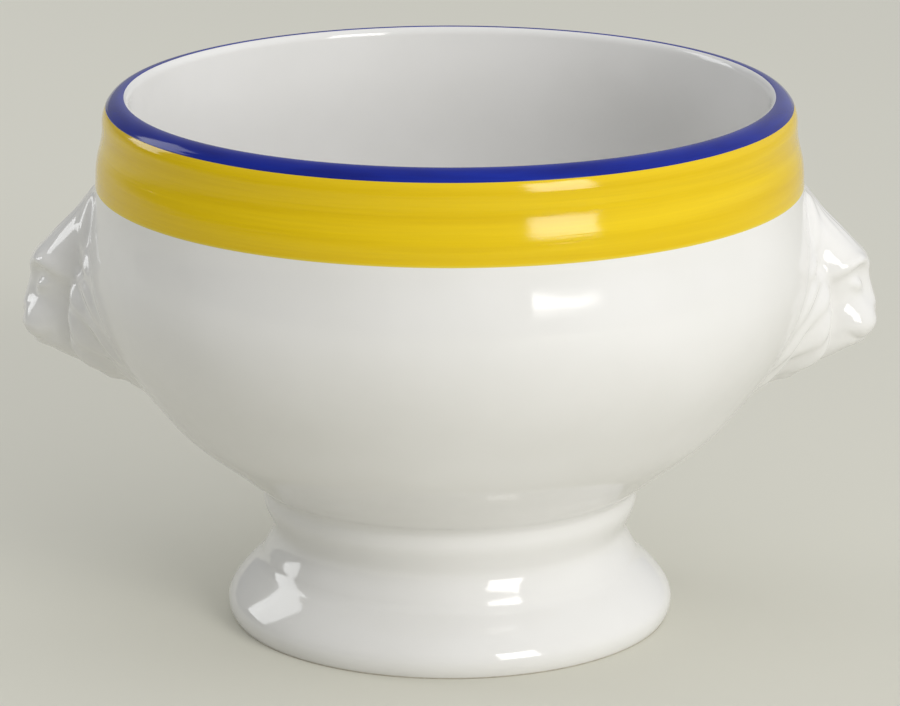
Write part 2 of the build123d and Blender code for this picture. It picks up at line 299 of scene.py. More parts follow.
def make_lathe():
    """Build the tree, and return it with the identifiers of its inputs."""
    tree = bpy.data.node_groups.new("lathe", "GeometryNodeTree")
    names = {
        "section": tree_input(tree, "Section", "NodeSocketGeometry"),
        "steps": tree_input(tree, "Steps in a turn", "NodeSocketInt", TURN_STEPS),
        "wander": tree_input(tree, "Border wander", "NodeSocketFloat", 0.0),
        "seed": tree_input(tree, "Seed", "NodeSocketFloat", 0.0),
        "finish": tree_input(tree, "Finish", "NodeSocketMaterial"),
        "bare": tree_input(tree, "Bare clay", "NodeSocketMaterial"),
        "bare_height": tree_input(tree, "Bare clay height", "NodeSocketFloat", -1.0),
    }
    tree.interface.new_socket("Body", in_out="OUTPUT", socket_type="NodeSocketGeometry")
    nodes, links = tree.nodes, tree.links
    source = nodes.new("NodeGroupInput")
    sink = nodes.new("NodeGroupOutput")

    count = nodes.new("GeometryNodeAttributeDomainSize")
    links.new(source.outputs["Section"], count.inputs[0])
    grid = nodes.new("GeometryNodeMeshGrid")
    columns = maths(nodes, links, "ADD", source.outputs["Steps in a turn"], 1)
    links.new(columns, grid.inputs["Vertices X"])
    links.new(count.outputs["Point Count"], grid.inputs["Vertices Y"])

    place = nodes.new("GeometryNodeInputPosition")
    parts = nodes.new("ShaderNodeSeparateXYZ")
    links.new(place.outputs[0], parts.inputs[0])
    turn_share = maths(nodes, links, "ADD", parts.outputs["X"], 0.5)
    angle = maths(nodes, links, "MULTIPLY", turn_share, math.tau)
    row_share = maths(nodes, links, "ADD", parts.outputs["Y"], 0.5)
    last_row = maths(nodes, links, "SUBTRACT", count.outputs["Point Count"], 1)
    row = maths(nodes, links, "MULTIPLY", row_share, last_row)
    row = maths(nodes, links, "ROUND", row, 0)

    def sampled(field):
        node = nodes.new("GeometryNodeSampleIndex")
        node.data_type = "FLOAT_VECTOR"
        links.new(source.outputs["Section"], node.inputs["Geometry"])
        links.new(field, node.inputs["Value"])
        links.new(row, node.inputs["Index"])
        return node.outputs[0]

    slide = nodes.new("GeometryNodeInputNamedAttribute")
    slide.data_type = "FLOAT_VECTOR"
    slide.inputs["Name"].default_value = "slide"

    # A slow noise round the turn moves a border up and down, as a hand-held brush does
    circle = nodes.new("ShaderNodeCombineXYZ")
    links.new(maths(nodes, links, "COSINE", angle, 0), circle.inputs["X"])
    links.new(maths(nodes, links, "SINE", angle, 0), circle.inputs["Y"])
    links.new(source.outputs["Seed"], circle.inputs["Z"])
    noise = nodes.new("ShaderNodeTexNoise")
    noise.inputs["Scale"].default_value = WANDER_SCALE
    noise.inputs["Detail"].default_value = 3.0
    links.new(circle.outputs[0], noise.inputs["Vector"])
    sway = maths(nodes, links, "SUBTRACT", noise.outputs[0], 0.5)
    sway = maths(nodes, links, "MULTIPLY", sway, source.outputs["Border wander"])
    moved = nodes.new("ShaderNodeVectorMath")
    moved.operation = "SCALE"
    links.new(sampled(slide.outputs[0]), moved.inputs[0])
    links.new(sway, moved.inputs["Scale"])
    point = nodes.new("ShaderNodeVectorMath")
    point.operation = "ADD"
    links.new(sampled(place.outputs[0]), point.inputs[0])
    links.new(moved.outputs[0], point.inputs[1])

    spin = nodes.new("ShaderNodeVectorRotate")
    spin.rotation_type = "Z_AXIS"
    links.new(point.outputs[0], spin.inputs["Vector"])
    links.new(angle, spin.inputs["Angle"])
    turned = nodes.new("GeometryNodeSetPosition")
    links.new(grid.outputs["Mesh"], turned.inputs["Geometry"])
    links.new(spin.outputs[0], turned.inputs["Position"])
    closed = nodes.new("GeometryNodeMergeByDistance")
    closed.inputs["Distance"].default_value = SEAM_GAP * MM
    links.new(turned.outputs[0], closed.inputs["Geometry"])
    smooth = nodes.new("GeometryNodeSetShadeSmooth")
    links.new(closed.outputs[0], smooth.inputs["Geometry"])
    real = nodes.new("GeometryNodeRealizeInstances")
    links.new(smooth.outputs[0], real.inputs[0])

    finish = nodes.new("GeometryNodeSetMaterial")
    links.new(real.outputs[0], finish.inputs["Geometry"])
    links.new(source.outputs["Finish"], finish.inputs["Material"])
    bare = nodes.new("GeometryNodeSetMaterial")
    low_faces = nodes.new("FunctionNodeCompare")
    low_faces.operation = "LESS_THAN"
    links.new(parts.outputs["Z"], low_faces.inputs[0])
    links.new(source.outputs["Bare clay height"], low_faces.inputs[1])
    links.new(low_faces.outputs[0], bare.inputs["Selection"])
    links.new(finish.outputs[0], bare.inputs["Geometry"])
    links.new(source.outputs["Bare clay"], bare.inputs["Material"])
    links.new(bare.outputs[0], sink.inputs[0])
    return tree, names


def section_mesh(name, points, slides=None):
    """A section as a line of vertices in metres, with how far each may slide along the face."""
    mesh = bpy.data.meshes.new(name)
    corners = [(r * MM, 0.0, z * MM) for r, z in points]
    mesh.from_pydata(corners, [(i, i + 1) for i in range(len(corners) - 1)], [])
    attribute = mesh.attributes.new("slide", "FLOAT_VECTOR", "POINT")
    if slides is not None:
        values = np.zeros((len(points), 3))
        values[:, 0], values[:, 2] = slides[:, 0], slides[:, 1]
        attribute.data.foreach_set("vector", values.astype(np.float32).ravel())
    return mesh


def close_outwards(mesh):
    work = bmesh.new()
    work.from_mesh(mesh)
    bmesh.ops.recalc_face_normals(work, faces=work.faces)
    work.to_mesh(mesh)
    work.free()


def finished(name, mesh):
    piece = bpy.data.objects.new(name, mesh)
    bpy.context.scene.collection.objects.link(piece)
    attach(piece, "root")
    return piece


lathe_tree, lathe_inputs = make_lathe()


def turned_piece(name, points, finish, slides=None, **settings):
    """Turn a section on the lathe and return the plain object that it leaves."""
    blank = bpy.data.objects.new(name + "_blank", section_mesh(name + "_section", points, slides))
    bpy.context.scene.collection.objects.link(blank)
    lathe = blank.modifiers.new("lathe", "NODES")
    lathe.node_group = lathe_tree
    lathe[lathe_inputs["finish"]] = finish
    lathe[lathe_inputs["bare"]] = settings.get("bare", finish)
    for key in ("steps", "wander", "seed", "bare_height"):
        if key in settings:
            lathe[lathe_inputs[key]] = settings[key]
    depsgraph = bpy.context.evaluated_depsgraph_get()
    mesh = bpy.data.meshes.new_from_object(blank.evaluated_get(depsgraph), depsgraph=depsgraph)
    mesh.name = name
    bpy.data.objects.remove(blank)
    close_outwards(mesh)
    return finished(name, mesh)


# Materials. Tints are stops over a noise: its level, then red, green and blue.

WHITE_TINTS = ((0.3, (0.76, 0.755, 0.735)), (0.7, (0.80, 0.795, 0.78)))
YELLOW_TINTS = ((0.3, (0.73, 0.50, 0.001)), (0.7, (0.81, 0.575, 0.003)))
BRUSH_TINTS = ((0.25, (0.93, 0.92, 0.86)), (0.75, (1.0, 1.0, 1.0)))
BLUE_TINTS = ((0.3, (0.001, 0.008, 0.19)), (0.72, (0.002, 0.018, 0.30)))
CLAY_TINTS = ((0.3, (0.60, 0.56, 0.49)), (0.7, (0.72, 0.69, 0.62)))
PAPER_TINTS = ((0.3, (0.690, 0.680, 0.600)), (0.7, (0.710, 0.700, 0.620)))
IRON_SPECK = (0.22, 0.17, 0.12)
THIN_YELLOW = (0.72, 0.66, 0.13)
# Where the yellow is at its thinnest and where it is full again, above its lower border
THIN_EDGE_HEIGHTS = (0.10, 0.55)
THIN_EDGE_SHARE = 0.55
# How large a speck is in its cell, the level that few cells reach, and how dark a speck is
SPECK_SIZE = 0.022
SPECK_LEVEL = 0.985
SPECK_SHARE = 0.55
# How fine each noise is, in counts to the metre along each axis
CLOUD_SCALE = 38.0
SPECK_SCALE = 95.0
HAZE_SCALE = 170.0
RIPPLE_SCALE = (35.0, 35.0, 120.0)
PEEL_SCALE = 620.0
BRUSH_SCALE = (14.0, 14.0, 420.0)
BRISTLE_SCALE = (40.0, 40.0, 2400.0)
BLUE_POOL_SCALE = (60.0, 60.0, 700.0)
BLUE_BRISTLE_SCALE = (60.0, 60.0, 2600.0)
CLAY_GRIT_SCALE = 900.0
PAPER_SCALE = 2.0
# From the glossiest to the dullest places of each finish
GLAZE_ROUGHNESS = (0.05, 0.11)
YELLOW_ROUGHNESS = (0.05, 0.13)
BLUE_ROUGHNESS = (0.05, 0.14)
CLAY_ROUGHNESS = (0.65, 0.85)
PAPER_ROUGHNESS = 0.9
# How strongly each finish mirrors, where 0.5 is usual, and how strongly the glaze bends light
YELLOW_SPECULAR = 0.34
BLUE_SPECULAR = 0.22
PAPER_SPECULAR = 0.2
GLAZE_INDEX = 1.52
# Heights of the finest relief
RIPPLE_HEIGHT = 0.06
PEEL_HEIGHT = 0.006
BRUSH_HEIGHT = 0.05
BRISTLE_HEIGHT = 0.028
BLUE_BRISTLE_HEIGHT = 0.010
CLAY_GRIT_HEIGHT = 0.05


def new_material(name):
    material = bpy.data.materials.new(name)
    material.use_nodes = True
    nodes, links = material.node_tree.nodes, material.node_tree.links
    shader = nodes["Principled BSDF"]
    place = nodes.new("ShaderNodeTexCoord")
    return material, nodes, links, shader, place.outputs["Object"]


def noise_of(nodes, links, place, stretch, detail=2.0, roughness=0.5):
    """Noise whose grain is given as counts to the metre along each axis."""
    mapping = nodes.new("ShaderNodeMapping")
    mapping.inputs["Scale"].default_value = stretch
    links.new(place, mapping.inputs["Vector"])
    noise = nodes.new("ShaderNodeTexNoise")
    noise.inputs["Scale"].default_value = 1.0
    noise.inputs["Detail"].default_value = detail
    noise.inputs["Roughness"].default_value = roughness
    links.new(mapping.outputs[0], noise.inputs["Vector"])
    return noise.outputs[0]


def ramp_of(nodes, links, value, stops):
    ramp = nodes.new("ShaderNodeValToRGB")
    links.new(value, ramp.inputs[0])
    elements = ramp.color_ramp.elements
    while len(elements) < len(stops):
        elements.new(0.5)
    for element, (position, colour) in zip(elements, stops):
        element.position = position
        element.color = (*colour, 1.0)
    return ramp.outputs[0]


def remapped(nodes, links, value, low, high):
    node = nodes.new("ShaderNodeMapRange")
    node.inputs["To Min"].default_value = low
    node.inputs["To Max"].default_value = high
    links.new(value, node.inputs["Value"])
    return node.outputs[0]


def bumped(nodes, links, height, distance, below=None):
    bump = nodes.new("ShaderNodeBump")
    bump.inputs["Distance"].default_value = distance
    bump.inputs["Strength"].default_value = 1.0
    links.new(height, bump.inputs["Height"])
    if below is not None:
        links.new(below, bump.inputs["Normal"])
    return bump.outputs[0]


def mixed(nodes, links, share, first, second, blend="MIX"):
    node = nodes.new("ShaderNodeMix")
    node.data_type = "RGBA"
    node.blend_type = blend
    if isinstance(share, float):
        node.inputs["Factor"].default_value = share
    else:
        links.new(share, node.inputs["Factor"])
    for socket, value in ((node.inputs[6], first), (node.inputs[7], second)):
        if isinstance(value, tuple):
            socket.default_value = (*value, 1.0)
        else:
            links.new(value, socket)
    return node.outputs[2]


def even(scale):
    return (scale, scale, scale)


def white_glaze():
    """Clear glaze over hard porcelain: cloudy whites, slow ripples, a fine peel and rare specks."""
    material, nodes, links, shader, place = new_material("white_glaze")
    clouds = noise_of(nodes, links, place, even(CLOUD_SCALE), detail=3.0)
    tint = ramp_of(nodes, links, clouds, WHITE_TINTS)
    cell = nodes.new("ShaderNodeTexVoronoi")
    cell.inputs["Scale"].default_value = SPECK_SCALE
    links.new(place, cell.inputs["Vector"])
    near = maths(nodes, links, "LESS_THAN", cell.outputs["Distance"], SPECK_SIZE)
    chance = nodes.new("ShaderNodeSeparateColor")
    links.new(cell.outputs["Color"], chance.inputs[0])
    rare = maths(nodes, links, "GREATER_THAN", chance.outputs[0], SPECK_LEVEL)
    speck = maths(nodes, links, "MULTIPLY", near, rare)
    speck = maths(nodes, links, "MULTIPLY", speck, SPECK_SHARE)
    colour = mixed(nodes, links, speck, tint, IRON_SPECK)
    links.new(colour, shader.inputs["Base Color"])
    haze = noise_of(nodes, links, place, even(HAZE_SCALE))
    links.new(remapped(nodes, links, haze, *GLAZE_ROUGHNESS), shader.inputs["Roughness"])
    ripple = noise_of(nodes, links, place, RIPPLE_SCALE)
    peel = noise_of(nodes, links, place, even(PEEL_SCALE))
    low = bumped(nodes, links, ripple, RIPPLE_HEIGHT * MM)
    links.new(bumped(nodes, links, peel, PEEL_HEIGHT * MM, below=low), shader.inputs["Normal"])
    shader.inputs["IOR"].default_value = GLAZE_INDEX
    return material


def yellow_enamel():
    """Bright yellow laid on with a turning brush: level streaks, and a pale thin lower edge."""
    material, nodes, links, shader, place = new_material("yellow_enamel")
    broad = noise_of(nodes, links, place, BRUSH_SCALE, detail=3.0)
    fine = noise_of(nodes, links, place, BRISTLE_SCALE, detail=3.0, roughness=0.6)
    body = ramp_of(nodes, links, broad, YELLOW_TINTS)
    streak = ramp_of(nodes, links, fine, BRUSH_TINTS)
    colour = mixed(nodes, links, 1.0, body, streak, "MULTIPLY")
    parts = nodes.new("ShaderNodeSeparateXYZ")
    links.new(place, parts.inputs[0])
    edge = nodes.new("ShaderNodeMapRange")
    thinnest, full = THIN_EDGE_HEIGHTS
    edge.inputs["From Min"].default_value = (YELLOW_BOTTOM_HEIGHT + full) * MM
    edge.inputs["From Max"].default_value = (YELLOW_BOTTOM_HEIGHT + thinnest) * MM
    edge.inputs["To Max"].default_value = THIN_EDGE_SHARE
    links.new(parts.outputs["Z"], edge.inputs["Value"])
    colour = mixed(nodes, links, edge.outputs[0], colour, THIN_YELLOW)
    links.new(colour, shader.inputs["Base Color"])
    links.new(remapped(nodes, links, fine, *YELLOW_ROUGHNESS), shader.inputs["Roughness"])
    low = bumped(nodes, links, broad, BRUSH_HEIGHT * MM)
    links.new(bumped(nodes, links, fine, BRISTLE_HEIGHT * MM, below=low), shader.inputs["Normal"])
    shader.inputs["Specular IOR Level"].default_value = YELLOW_SPECULAR
    return material


def blue_enamel():
    """Cobalt blue run round the lip: deeper where it pools, paler where it is drawn thin."""
    material, nodes, links, shader, place = new_material("blue_enamel")
    pool = noise_of(nodes, links, place, BLUE_POOL_SCALE, detail=3.0)
    colour = ramp_of(nodes, links, pool, BLUE_TINTS)
    links.new(colour, shader.inputs["Base Color"])
    grain = noise_of(nodes, links, place, BLUE_BRISTLE_SCALE, detail=3.0)
    links.new(remapped(nodes, links, grain, *BLUE_ROUGHNESS), shader.inputs["Roughness"])
    links.new(bumped(nodes, links, grain, BLUE_BRISTLE_HEIGHT * MM), shader.inputs["Normal"])
    shader.inputs["Specular IOR Level"].default_value = BLUE_SPECULAR
    return material


def bare_clay():
    """The standing ring, wiped clean of glaze: dull, warm and a little gritty."""
    material, nodes, links, shader, place = new_material("bare_clay")
    grain = noise_of(nodes, links, place, even(CLAY_GRIT_SCALE), detail=4.0, roughness=0.6)
    colour = ramp_of(nodes, links, grain, CLAY_TINTS)
    links.new(colour, shader.inputs["Base Color"])
    links.new(remapped(nodes, links, grain, *CLAY_ROUGHNESS), shader.inputs["Roughness"])
    links.new(bumped(nodes, links, grain, CLAY_GRIT_HEIGHT * MM), shader.inputs["Normal"])
    return material


def pale_paper():
    """The seamless floor."""
    material, nodes, links, shader, place = new_material("pale_paper")
    tone = noise_of(nodes, links, place, even(PAPER_SCALE))
    colour = ramp_of(nodes, links, tone, PAPER_TINTS)
    links.new(colour, shader.inputs["Base Color"])
    shader.inputs["Roughness"].default_value = PAPER_ROUGHNESS
    shader.inputs["Specular IOR Level"].default_value = PAPER_SPECULAR
    return material


glaze = white_glaze()
yellow = yellow_enamel()
blue = blue_enamel()
clay = bare_clay()


# The turned pieces


def make_bowl():
    """The porcelain bowl, let in a hair where the coats lie on it."""
    knots = np.array(BED_EDGES) + (blue_start, blue_start, yellow_stop, yellow_stop)
    depth = np.interp(whole_lengths, knots, (0.0, BED_DEPTH, BED_DEPTH, 0.0))
    points = whole_path - outward(whole_path) * depth[:, None]
    points[[0, -1], 0] = 0.0
    piece = turned_piece("bowl_glazed", points, glaze)
    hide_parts("bowl")


def coat(name, start, stop, edges, wander, finish, gap, seed):
    """A closed coat: its face over the path, its back a coat's depth under it, its border brushed."""
    places = np.linspace(start, stop, max(2, round((stop - start) / gap) + 1))
    path = np.stack([np.interp(places, whole_lengths, whole_path[:, k]) for k in (0, 1)], 1)
    normals = outward(path)
    knots, heights = np.array(edges).T
    face = path + normals * np.interp(places, knots, heights)[:, None]
    back = (path - normals * COAT_DEPTH)[::-1]
    points = np.vstack((face, back, face[:1]))
    reach, fade = wander
    weights = np.clip((places - (stop - reach)) / fade, 0, 1)[:, None]
    slides = np.stack((normals[:, 1], -normals[:, 0]), 1) * weights
    slides = np.vstack((slides, slides[::-1], slides[:1]))
    return turned_piece(name, points, finish, slides, wander=BORDER_WANDER * MM, seed=seed)


def placed(edge, border):
    return [(border + along, height) for along, height in edge]


def make_yellow_band():
    start, stop = enamel_border - YELLOW_OVERLAP, yellow_stop + YELLOW_DRIP
    edges = placed(YELLOW_UPPER_EDGE, start) + placed(YELLOW_LOWER_EDGE, stop)
    piece = coat("yellow_band_painted", start, stop, edges, YELLOW_WANDER, yellow, gap=0.12, seed=3.0)
    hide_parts("yellow_band")


def make_blue_line():
    start, stop = blue_start - BLUE_OVERLAP, enamel_border + BLUE_OVERLAP
    crest = [(crest_length, 0.0)]
    edges = placed(BLUE_INNER_EDGE, start) + crest + placed(BLUE_OUTER_EDGE, stop)
    piece = coat("blue_rim_line_painted", start, stop, edges, BLUE_WANDER, blue, gap=0.05, seed=8.0)
    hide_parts("blue_rim_line")


def with_soft_corner(first, second, reach):
    """Two joined curves as one, with glaze filling the corner between them."""
    corner = first[-1]
    first = first[np.linalg.norm(first - corner, axis=1) > reach]
    second = second[np.linalg.norm(second - corner, axis=1) > reach]
    way = np.linspace(0, 1, 11)[1:-1, None]
    filled = first[-1] * (1 - way) ** 2 + corner * 2 * way * (1 - way) + second[0] * way**2
    return np.vstack((first, filled, second))


def make_foot():
    """The hollow foot. Its top runs a little way into the bowl that it is joined to."""
    start = np.argmin(np.abs(side_of_bowl[:, 0] - SEAT[0] - SEAT_FILLET_REACH))
    upper_points = [side_of_bowl[start], SEAT_FILLET, COLLAR, NECK, STEP]
    along_bowl = side_of_bowl[start - 1] - side_of_bowl[start]
    upper = smooth_curve(upper_points, along_bowl, NECK_END, steps=26)
    bend = between((STEP[0], SWELL[1]), (SWELL[0], STEP[1]), FLANGE_BEND_SHARE)
    flange = smooth_curve([STEP, bend, SWELL], (1, -1), (0, -1), steps=22)
    side = with_soft_corner(upper, flange, STEP_SOFTENING)
    foot_edge = bend_down(SWELL, RING_OUTER_RADIUS - SWELL[0], SWELL[1], steps=9)
    ring = np.linspace((RING_OUTER_RADIUS, 0.0), (RING_INNER_RADIUS, 0.0), 9)
    middle = np.array(((RING_INNER_RADIUS + RECESS_RADIUS) / 2, STEP[1] / 2))
    recess = smooth_curve([ring[-1], middle, (RECESS_RADIUS, NECK[1])], (0, 1), (0, 1), steps=16)
    top = [(RECESS_RADIUS, SEAT[1]), np.add((RECESS_RADIUS, SEAT[1]), FOOT_TOP_EASE)]
    top += [upper[0] + FOOT_SINK, upper[0]]
    points = np.vstack((side, foot_edge[1:], ring[1:], recess[1:], top))
    ring_height = BARE_CLAY_HEIGHT * MM
    piece = turned_piece("pedestal_foot_glazed", points, glaze, bare=clay, bare_height=ring_height)
    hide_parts("pedestal_foot")


# The lion masks: soft forms pressed together like clay and held as distances on a grid, whose
# skin becomes the mesh. One is made looking along +X, and turned half a turn for the other side.

GRAIN = 0.30
BLOCK_LOW = np.array((51.0, 0.0, 42.0))
BLOCK_HIGH = np.array((77.4, 20.4, 81.6))
BLOCK_ROOT = 50.0
GLAZE_SOFTENING = 0.55
MASK_INSET = 1.2
MASK_EDGE_LIFT = 0.02
MASK_EDGE_REACH = 2.6
MASK_TOP_HEIGHT = YELLOW_BOTTOM_HEIGHT - 0.3
# Height on the bowl, and how softly the mask runs into it there
JOINT_HEIGHTS = (46.0, 60.0, 72.0)
JOINT_FILLETS = (2.4, 1.5, 0.7)

# Height, reach from the bowl's axis, half width
HEAD_ROWS = (
    (44.6, 56.5, 3.8),
    (47.1, 65.4, 6.2),
    (49.7, 70.8, 7.2),
    (51.9, 73.3, 7.7),
    (55.0, 74.2, 7.9),
    (59.6, 73.3, 7.5),
    (62.4, 72.8, 8.0),
    (65.0, 73.3, 8.8),
    (67.2, 71.9, 8.7),
    (70.1, 69.4, 8.2),
    (73.8, 66.2, 7.2),
    (77.2, 63.2, 5.0),
    (79.6, 57.0, 2.6),
)
HEAD_CORNER_SHARE = 0.76
HEAD_FILLET = 1.6
NOSE_ROWS = (
    (51.5, 52.0, 1.4),
    (54.6, 73.4, 2.4),
    (56.6, 75.6, 3.3),
    (59.0, 75.1, 2.8),
    (62.0, 74.3, 2.7),
    (65.0, 73.8, 3.0),
    (68.0, 71.4, 3.2),
    (72.0, 66.5, 2.8),
    (79.0, 52.0, 2.0),
)
NOSE_CORNER_SHARE = 0.8
MANE_ROWS = (
    (43.0, 52.5, 5.0),
    (45.0, 58.6, 8.5),
    (50.0, 65.2, 13.0),
    (54.0, 66.2, 15.0),
    (58.0, 66.5, 15.6),
    (62.0, 66.2, 14.8),
    (66.0, 65.0, 11.8),
    (70.0, 63.8, 9.4),
    (74.0, 62.6, 7.6),
    (79.5, 58.0, 4.0),
)
MANE_SQUARENESS = 4.2
# The ruff round the cheek and the swell behind it: across, height, thickness
MANE_SWELLS = (
    ((7.6, 66.0, 0.9), (9.6, 61.4, 1.5), (11.0, 56.4, 1.8), (10.4, 51.4, 1.7), (7.8, 46.6, 1.1)),
    ((9.4, 69.4, 1.1), (12.6, 64.2, 1.5), (15.0, 58.6, 1.8), (15.2, 52.8, 1.7), (12.2, 47.2, 1.1)),
)
SWELL_SINK = 0.95
SWELL_FILLET = 1.2
# The mane's locks fan from the face, some degrees apart, and sweep down by some degrees for each
# millimetre out. Their relief grows between two shares of the face's size, seen from its middle,
# and fades away over a length below their top.
FACE_HEIGHT = 59.0
FACE_HALF_WIDTH = 7.6
FACE_HALF_HEIGHT = 11.5
LOCK_SPREAD = 18.0
LOCK_SWEEP = 4.5
LOCK_RELIEF = 0.9
LOCK_START_SHARES = (1.05, 1.7)
LOCK_TOP_HEIGHT = 71.0
LOCK_TOP_FADE = 5.0
# Lines scored in the forehead: across, height, depth
FOREHEAD_LINES = (
    ((0.0, 66.0, 0.1), (0.0, 70.0, 0.45), (0.0, 76.8, 0.25)),
    ((2.9, 68.0, 0.1), (2.8, 71.4, 0.40), (1.8, 76.8, 0.25)),
    ((5.6, 69.6, 0.1), (5.0, 72.2, 0.35), (3.2, 76.6, 0.20)),
)
LINE_WIDTH = 0.55
# Places along single strands of clay: reach, across, height, thickness
TOP_LOCK = (
    (62.6, 3.4, 76.8, 0.6),
    (63.2, 5.9, 74.2, 1.0),
    (63.3, 7.9, 71.2, 1.2),
    (62.9, 9.3, 67.8, 1.0),
)
BROW = (
    (73.2, 1.6, 64.5, 0.8),
    (72.2, 4.9, 65.5, 1.2),
    (70.3, 7.2, 65.1, 1.1),
    (67.6, 8.2, 64.0, 0.6),
)
BROW_CREASE = (
    (74.0, 2.8, 62.7, 0.8),
    (72.9, 5.4, 64.0, 1.1),
    (71.0, 7.9, 63.6, 0.9),
    (68.2, 9.3, 62.0, 0.4),
)
EYE_SOCKET = ((74.4, 3.4, 60.9, 0.8), (73.5, 5.5, 62.0, 1.6), (71.6, 7.8, 62.3, 1.0))
EYE = ((72.0, 3.9, 60.7, 0.6), (71.7, 5.2, 61.4, 1.1), (70.7, 6.7, 61.9, 0.6))
MOUTH = (
    (75.3, 0.0, 52.5, 0.3),
    (74.4, 2.4, 51.8, 0.35),
    (72.4, 5.2, 51.8, 0.4),
    (70.4, 6.8, 53.0, 0.3),
)
LIP_CLEFT = ((76.0, 0.0, 55.0, 0.3), (75.6, 0.0, 52.8, 0.3))
# Middles and radii of eggs of clay, one on each side where they lie off the middle
MUZZLE_PAD = ((71.7, 3.6, 54.7), (3.5, 3.9, 3.5))
CHIN = ((70.9, 0.0, 51.2), (3.2, 3.6, 2.0))
NOSTRIL = ((75.6, 1.8, 55.9), (1.1, 0.8, 0.5))
# Steps from one row to the next, and from one place to the next along a strand or a line
ROW_STEPS = 12
STRAND_STEPS = 3
LINE_STEPS = 4
# The skin's smoothing
SMOOTHING_ROUNDS = 6
DRAW_IN = 0.5
LET_OUT = -0.53


def pressed(first, second, softness):
    """Two forms joined with a fillet. A form is its distance field, below zero inside."""
    share = np.clip(0.5 + 0.5 * (second - first) / softness, 0, 1)
    return second + (first - second) * share - softness * share * (1 - share)


def carved(form, tool, softness):
    return -pressed(-form, tool, softness)


def bent_line(points, steps):
    """A smooth line through points that have any number of columns."""
    points = np.array(points, float)
    points = np.vstack((2 * points[0] - points[1], points, 2 * points[-1] - points[-2]))
    spans = []
    for a, b, c, d in zip(points, points[1:], points[2:], points[3:]):
        t = np.linspace(0, 1, steps, endpoint=False)[:, None]
        bend = (2 * a - 5 * b + 4 * c - d) * t**2 + (3 * b - a - 3 * c + d) * t**3
        spans.append(b + ((c - a) * t + bend) / 2)
    return np.vstack([*spans, points[-2:-1]])


def egg(clay, middle_and_radii):
    middle, radii = np.array(middle_and_radii, np.float32)
    offset = (clay - middle) / radii
    size = np.linalg.norm(offset, axis=-1)
    steepness = np.linalg.norm(offset / radii, axis=-1)
    return size * (size - 1) / np.maximum(steepness, 1e-6)


def roll(clay, line):
    """A round strand of clay through rows of place and thickness."""
    line = bent_line(line, STRAND_STEPS).astype(np.float32)
    nearest = None
    for start, stop in zip(line, line[1:]):
        along = (stop - start)[:3]
        offset = clay - start[:3]
        share = np.clip(offset @ along / (along @ along), 0, 1)
        gap = np.linalg.norm(offset - share[..., None] * along, axis=-1)
        gap -= start[3] + share * (stop[3] - start[3])
        nearest = gap if nearest is None else np.minimum(nearest, gap)
    return nearest


def stacked(clay, rows, squareness):
    """A form whose level sections are rounded squares of the rows' reach and half width."""
    heights, reaches, widths = bent_line(rows, ROW_STEPS).T
    reach = np.interp(clay[..., 2], heights, reaches) - BLOCK_ROOT
    width = np.interp(clay[..., 2], heights, widths)
    x = np.maximum(clay[..., 0] - BLOCK_ROOT, 0) / reach
    y = np.abs(clay[..., 1]) / width
    size = np.maximum((x**squareness + y**squareness) ** (1 / squareness), 1e-3)
    slope_x = (x / size) ** (squareness - 1) / reach
    slope_y = (y / size) ** (squareness - 1) / width
    return (size - 1) / np.maximum(np.hypot(slope_x, slope_y), 1e-3)


def rounded_block(clay, rows, corner_share):
    """A form whose level sections are blocks with round front corners, a share of the half width."""
    heights, reaches, widths = bent_line(rows, ROW_STEPS).T
    width = np.interp(clay[..., 2], heights, widths)
    corner = corner_share * width
    ahead = clay[..., 0] - np.interp(clay[..., 2], heights, reaches) + corner
    aside = np.abs(clay[..., 1]) - width + corner
    outside = np.hypot(np.maximum(ahead, 0), np.maximum(aside, 0))
    lean = np.interp(clay[..., 2], heights, np.gradient(reaches, heights))
    return (outside + np.minimum(np.maximum(ahead, aside), 0) - corner) / np.sqrt(1 + lean**2)


def on_mane(across, height):
    """How far out the mane's face lies at a place on it, or the bowl's where the mane has ended."""
    heights, reaches, widths = bent_line(MANE_ROWS, ROW_STEPS).T
    share = min(across / np.interp(height, heights, widths), 1.0)
    reach = np.interp(height, heights, reaches) - BLOCK_ROOT
    mane = BLOCK_ROOT + reach * (1 - share**MANE_SQUARENESS) ** (1 / MANE_SQUARENESS)
    return max(mane, math.sqrt(side_radius(height) ** 2 - across**2))


def mane_form(clay):
    """The mane's mound, swelling round the cheek, with a lock from the forelock to the ear."""
    form = stacked(clay, MANE_ROWS, MANE_SQUARENESS)
    for swell in MANE_SWELLS:
        line = [(on_mane(y, z) - SWELL_SINK, y, z, r) for y, z, r in swell]
        form = pressed(form, roll(clay, line), SWELL_FILLET)
    form = form - lock_relief(clay[0, ..., 1], clay[0, ..., 2])
    return pressed(form, roll(clay, TOP_LOCK), SWELL_FILLET)


def eased(value, low, high):
    """A smooth step from 0 to 1 between two values."""
    share = np.clip((value - low) / (high - low), 0, 1)
    return share * share * (3 - 2 * share)


def lock_relief(across, height):
    """How far the mane's locks stand out from its mound at a place seen from the front."""
    up = height - FACE_HEIGHT
    out = np.hypot(across, up)
    turn = np.degrees(np.arctan2(up, across)) + LOCK_SWEEP * (out - FACE_HALF_WIDTH)
    ridge = np.abs(np.sin(np.radians(turn * 180 / LOCK_SPREAD)))
    start = eased(np.hypot(across / FACE_HALF_WIDTH, up / FACE_HALF_HEIGHT), *LOCK_START_SHARES)
    top = eased(LOCK_TOP_HEIGHT - height, 0.0, LOCK_TOP_FADE)
    return LOCK_RELIEF * ridge * start * top


